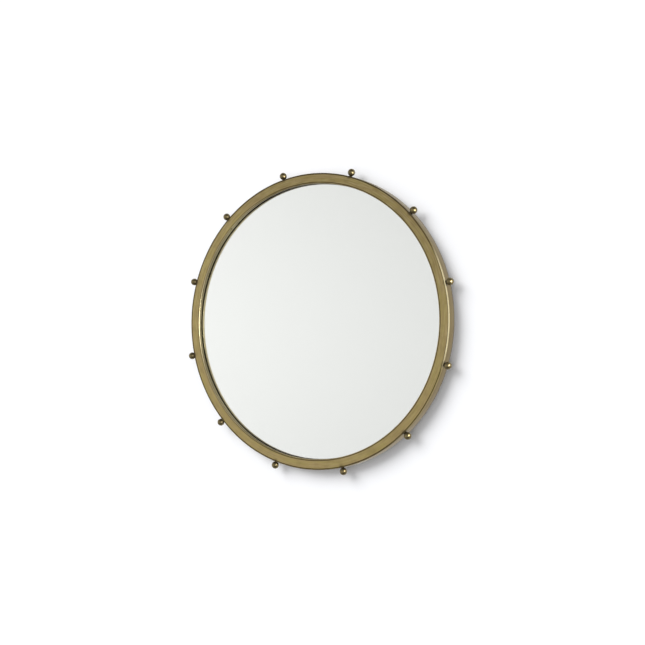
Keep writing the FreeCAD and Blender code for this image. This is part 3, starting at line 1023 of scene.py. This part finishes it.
class MIRROR_OT_dress_finials(bpy.types.Operator):
    """Finishes the balls and lays a burnt brazed collar in the corner under each"""

    bl_idname = "mirror_piece.dress_finials"
    bl_label = "Dress finials"

    def execute(self, context):
        brass = context.scene.mirror_brass
        turned = ball_brass(brass)
        for ball in BALLS:
            finish_node(ball, turned)
        # radius and height above the hoop, in millimetres
        outline = [(3.5, -0.7), (4.7, -0.7), (4.7, 0.0), (4.25, 0.3), (4.05, 0.75), (4.1, 1.25),
                   (4.4, 1.9), (3.5, 1.9), (3.5, -0.7)]
        mesh = lathe("collar", [(r * MM, h * MM) for r, h in outline], COLLAR_STEPS)
        collar = object_from(mesh, "collar")
        angles = [ball_angle(ball) for ball in BALLS]
        directions = [Vector((math.cos(a), 0, math.sin(a))) for a in angles]
        places = [d * HOOP_OUTSIDE + Vector((0, BALL_AXIS_Y, 0)) for d in directions]
        values = {
            "Spin": 6.28,
            "Unevenness": 0.5 * MM,
            "Grain": 420.0,
            "Seed": 4,
            "Material": burnt_braze(brass),
        }
        collars = stamp("brazed_collars", collar, places, directions, values)
        smooth(collars, 50)
        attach(collars, BODY)
        return {"FINISHED"}


class MIRROR_OT_dress_glass(bpy.types.Operator):
    """Makes the glass clear and lays its silver a hair behind it, so that no faces coincide"""

    bl_idname = "mirror_piece.dress_glass"
    bl_label = "Dress glass"

    def execute(self, context):
        glass = context.scene.mirror_glass
        finish_node("mirror_glass", clear_glass(glass))
        finish_node("glazing_tape", foam(glass))
        front, back = GLASS_BACK + glass.silver_gap, SILVER_BACK
        outline = [(0, front), (SILVER_RADIUS, front), (SILVER_RADIUS, back), (0, back)]
        mesh = lathe("silver_coat", outline, RING_STEPS)
        mesh.transform(Matrix.Rotation(-math.pi / 2, 4, "X"))
        silver = object_from(mesh, "silver_coat")
        mesh.materials.append(silvering(glass))
        smooth(silver, 40)
        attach(silver, BODY)
        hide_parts("silver_backing")
        return {"FINISHED"}


class MIRROR_OT_dress_back(bpy.types.Operator):
    """Finishes the board, the studs and the hangers on the back"""

    bl_idname = "mirror_piece.dress_back"
    bl_label = "Dress back"

    def execute(self, context):
        back = context.scene.mirror_back
        finish_node("backing_board", fibreboard(back))
        finish_node("finial_studs", zinc_plate("stud_zinc", back, 0.8))
        plate = zinc_plate("hanger_zinc", back)
        for part in HANGER_PARTS:
            finish_node(part, plate)
        return {"FINISHED"}


class MIRROR_OT_drive_screws(bpy.types.Operator):
    """Drives cross-recessed pan-head screws into the board and the hanger straps"""

    bl_idname = "mirror_piece.drive_screws"
    bl_label = "Drive screws"

    def execute(self, context):
        back = context.scene.mirror_back
        steel = zinc_plate("screw_zinc", back, 0.9)
        for number, node in enumerate(("board_screws", "hanger_screws")):
            crowns, *sizes = screw_shape(node)
            master = cross_recess_screw(*sizes)
            backwards = [Vector((0, 1, 0))] * len(crowns)
            values = {"Spin": math.pi / 2, "Unevenness": 0.0, "Seed": number, "Material": steel}
            driven = stamp(f"driven_{node}", master, crowns, backwards, values)
            smooth(driven, 35)
            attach(driven, BODY)
            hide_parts(node)
        return {"FINISHED"}


class MIRROR_OT_build_stage(bpy.types.Operator):
    """Sets up the camera, the white wall that takes the shadow, and the soft light round it"""

    bl_idname = "mirror_piece.build_stage"
    bl_label = "Build stage"

    def execute(self, context):
        studio = context.scene.mirror_studio
        self.make_camera(context, studio)
        self.make_wall(studio)
        self.make_lamps(studio)
        self.make_sky(context)
        context.scene.view_settings.view_transform = "Standard"
        return {"FINISHED"}

    @staticmethod
    def make_camera(context, studio):
        data = bpy.data.cameras.new("camera")
        data.lens = studio.lens
        data.clip_start = 0.01
        data.clip_end = 100.0
        camera = object_from(data, "camera")
        back = direction(studio.azimuth, studio.elevation)
        aim = Vector((studio.aim_right, FRONT, studio.aim_up))
        turn = facing(back) @ Matrix.Rotation(studio.roll, 4, "Z")
        camera.matrix_world = Matrix.Translation(aim + back * studio.distance) @ turn
        context.scene.camera = camera

    @staticmethod
    def make_wall(studio):
        half = studio.wall_size / 2
        mesh = bpy.data.meshes.new("wall")
        corners = [(-half, 0, -half), (half, 0, -half), (half, 0, half), (-half, 0, half)]
        mesh.from_pydata(corners, [], [(0, 1, 2, 3)])
        wall = object_from(mesh, "wall")
        wall.location.y = studio.wall_gap
        material, plan = new_material("wall")
        from_behind = plan.node("ShaderNodeNewGeometry", out="Backfacing")
        matt = plan.node("ShaderNodeBsdfDiffuse", {"Color": colour(studio.wall)})
        open_side = plan.node("ShaderNodeBsdfTransparent")
        shown = plan.node("ShaderNodeMixShader", {0: from_behind, 1: matt, 2: open_side})
        plan.node("ShaderNodeOutputMaterial", {"Surface": shown})
        mesh.materials.append(material)
        # only the camera sees the wall, so the back of the mirror stays lit
        wall.visible_diffuse = False
        wall.visible_glossy = False
        wall.visible_transmission = False
        wall.visible_shadow = False

    @staticmethod
    def make_lamp(name, towards, spread, radiance):
        """Far round lamp; radiance is how bright its disc looks."""
        data = bpy.data.lights.new(name, "SUN")
        data.angle = spread
        data.energy = radiance * math.pi * math.sin(spread / 2) ** 2
        lamp = object_from(data, name)
        lamp.matrix_world = facing(towards)
        return lamp

    def make_lamps(self, studio):
        """Two large lamps that shade matt things, and two on the right for the brass's shine."""
        towards = direction(studio.key_azimuth, studio.key_elevation)
        key = self.make_lamp("key", towards, studio.key_spread, studio.key_radiance)
        towards = direction(0.0, studio.top_elevation)
        top = self.make_lamp("top", towards, studio.top_spread, studio.top_radiance)
        for lamp in (key, top):
            lamp.visible_glossy = False
            lamp.visible_transmission = False

        towards = direction(studio.window_azimuth, 0.0)
        spread, radiance = studio.window_spread, studio.window_radiance
        window = self.make_lamp("window", towards, spread, radiance)
        data = bpy.data.lights.new("glint", "AREA")
        data.shape = "DISK"
        data.size = studio.glint_size
        data.energy = studio.glint_power
        glint = object_from(data, "glint")
        towards = direction(studio.glint_azimuth, studio.glint_elevation)
        place = Matrix.Translation(towards * studio.glint_distance)
        glint.matrix_world = place @ facing(towards)
        # only the balls and the lip show these two, which would tint the wall's shadow otherwise
        lip = bpy.data.objects["dressed_inner_lip"]
        balls = [NODES[node] for node in BALLS]
        for lamp, pieces in ((window, balls), (glint, [*balls, lip])):
            lamp.visible_diffuse = False
            shiny = bpy.data.collections.new(f"{lamp.name}_shiny")
            lamp.light_linking.receiver_collection = shiny
            for piece in pieces:
                shiny.objects.link(piece)

    @staticmethod
    def make_sky(context):
        """Room light that is stronger on the left, with a window ahead and a lamp on the right."""
        world = bpy.data.worlds.new("studio")
        world.use_nodes = True
        context.scene.world = world
        plan = Plan(world.node_tree)
        way = plan.node("ShaderNodeTexCoord", out="Generated")
        x, y, z = plan.numbers(way)
        level = abs(z).fade(0.0, 0.3, 1.0, 0.86) * abs(z).fade(0.25, 0.8, 1.0, 0.52)
        front = (0.54 - 0.85 * x).at_least(0.12).at_most(1.2) * level
        rear = x.fade(-0.4, 0.0, 0.3, 0.8)
        behind = y.fade(-0.05, 0.2)
        room = front * (1 - behind) + rear * behind
        # the lip's inner wall, seen through the glass, and the balls show what is straight ahead
        window = (-1.0 * y).fade(0.76, 0.86) * x.fade(-0.35, 0.1) * 0.6
        # the lamp fades out from 9 to 24 degrees off its middle
        lamp_axis = tuple(direction(math.radians(60), math.radians(3)))
        rim, core = math.cos(math.radians(24)), math.cos(math.radians(9))
        lamp = way.dot(lamp_axis).fade(rim, core) * 0.95
        # white to the camera, and behind the mirror to metal and glass too
        seen = plan.node("ShaderNodeLightPath", out="Is Camera Ray")
        mirrored = seen.other("Is Glossy Ray").at_least(seen.other("Is Transmission Ray"))
        white = seen.at_least(mirrored * behind)
        strength = (room + window + lamp) * (1 - white) + white
        sky = plan.node("ShaderNodeBackground", {"Color": WHITE, "Strength": strength})
        plan.node("ShaderNodeOutputWorld", {"Surface": sky})


class MIRROR_PT_panel(bpy.types.Panel):
    """Lists the steps that dress the mirror"""

    bl_label = "Mirror"
    bl_idname = "MIRROR_PT_panel"
    bl_space_type = "VIEW_3D"
    bl_region_type = "UI"
    bl_category = "Mirror"

    def draw(self, context):
        for step in STEPS:
            self.layout.operator(step.bl_idname)


SETTINGS = {
    "mirror_brass": BrassSettings,
    "mirror_glass": GlassSettings,
    "mirror_back": BackSettings,
    "mirror_studio": StudioSettings,
}
STEPS = (
    MIRROR_OT_dress_frame,
    MIRROR_OT_dress_finials,
    MIRROR_OT_dress_glass,
    MIRROR_OT_dress_back,
    MIRROR_OT_drive_screws,
    MIRROR_OT_build_stage,
)
CLASSES = (*SETTINGS.values(), *STEPS, MIRROR_PT_panel)


def register():
    for made in CLASSES:
        bpy.utils.register_class(made)
    for name, kind in SETTINGS.items():
        setattr(bpy.types.Scene, name, PointerProperty(type=kind))


def unregister():
    for name in SETTINGS:
        delattr(bpy.types.Scene, name)
    for made in reversed(CLASSES):
        bpy.utils.unregister_class(made)


def main():
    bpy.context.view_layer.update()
    register()
    for step in STEPS:
        group, name = step.bl_idname.split(".")
        getattr(getattr(bpy.ops, group), name)()


if __name__ == "__main__":
    main()
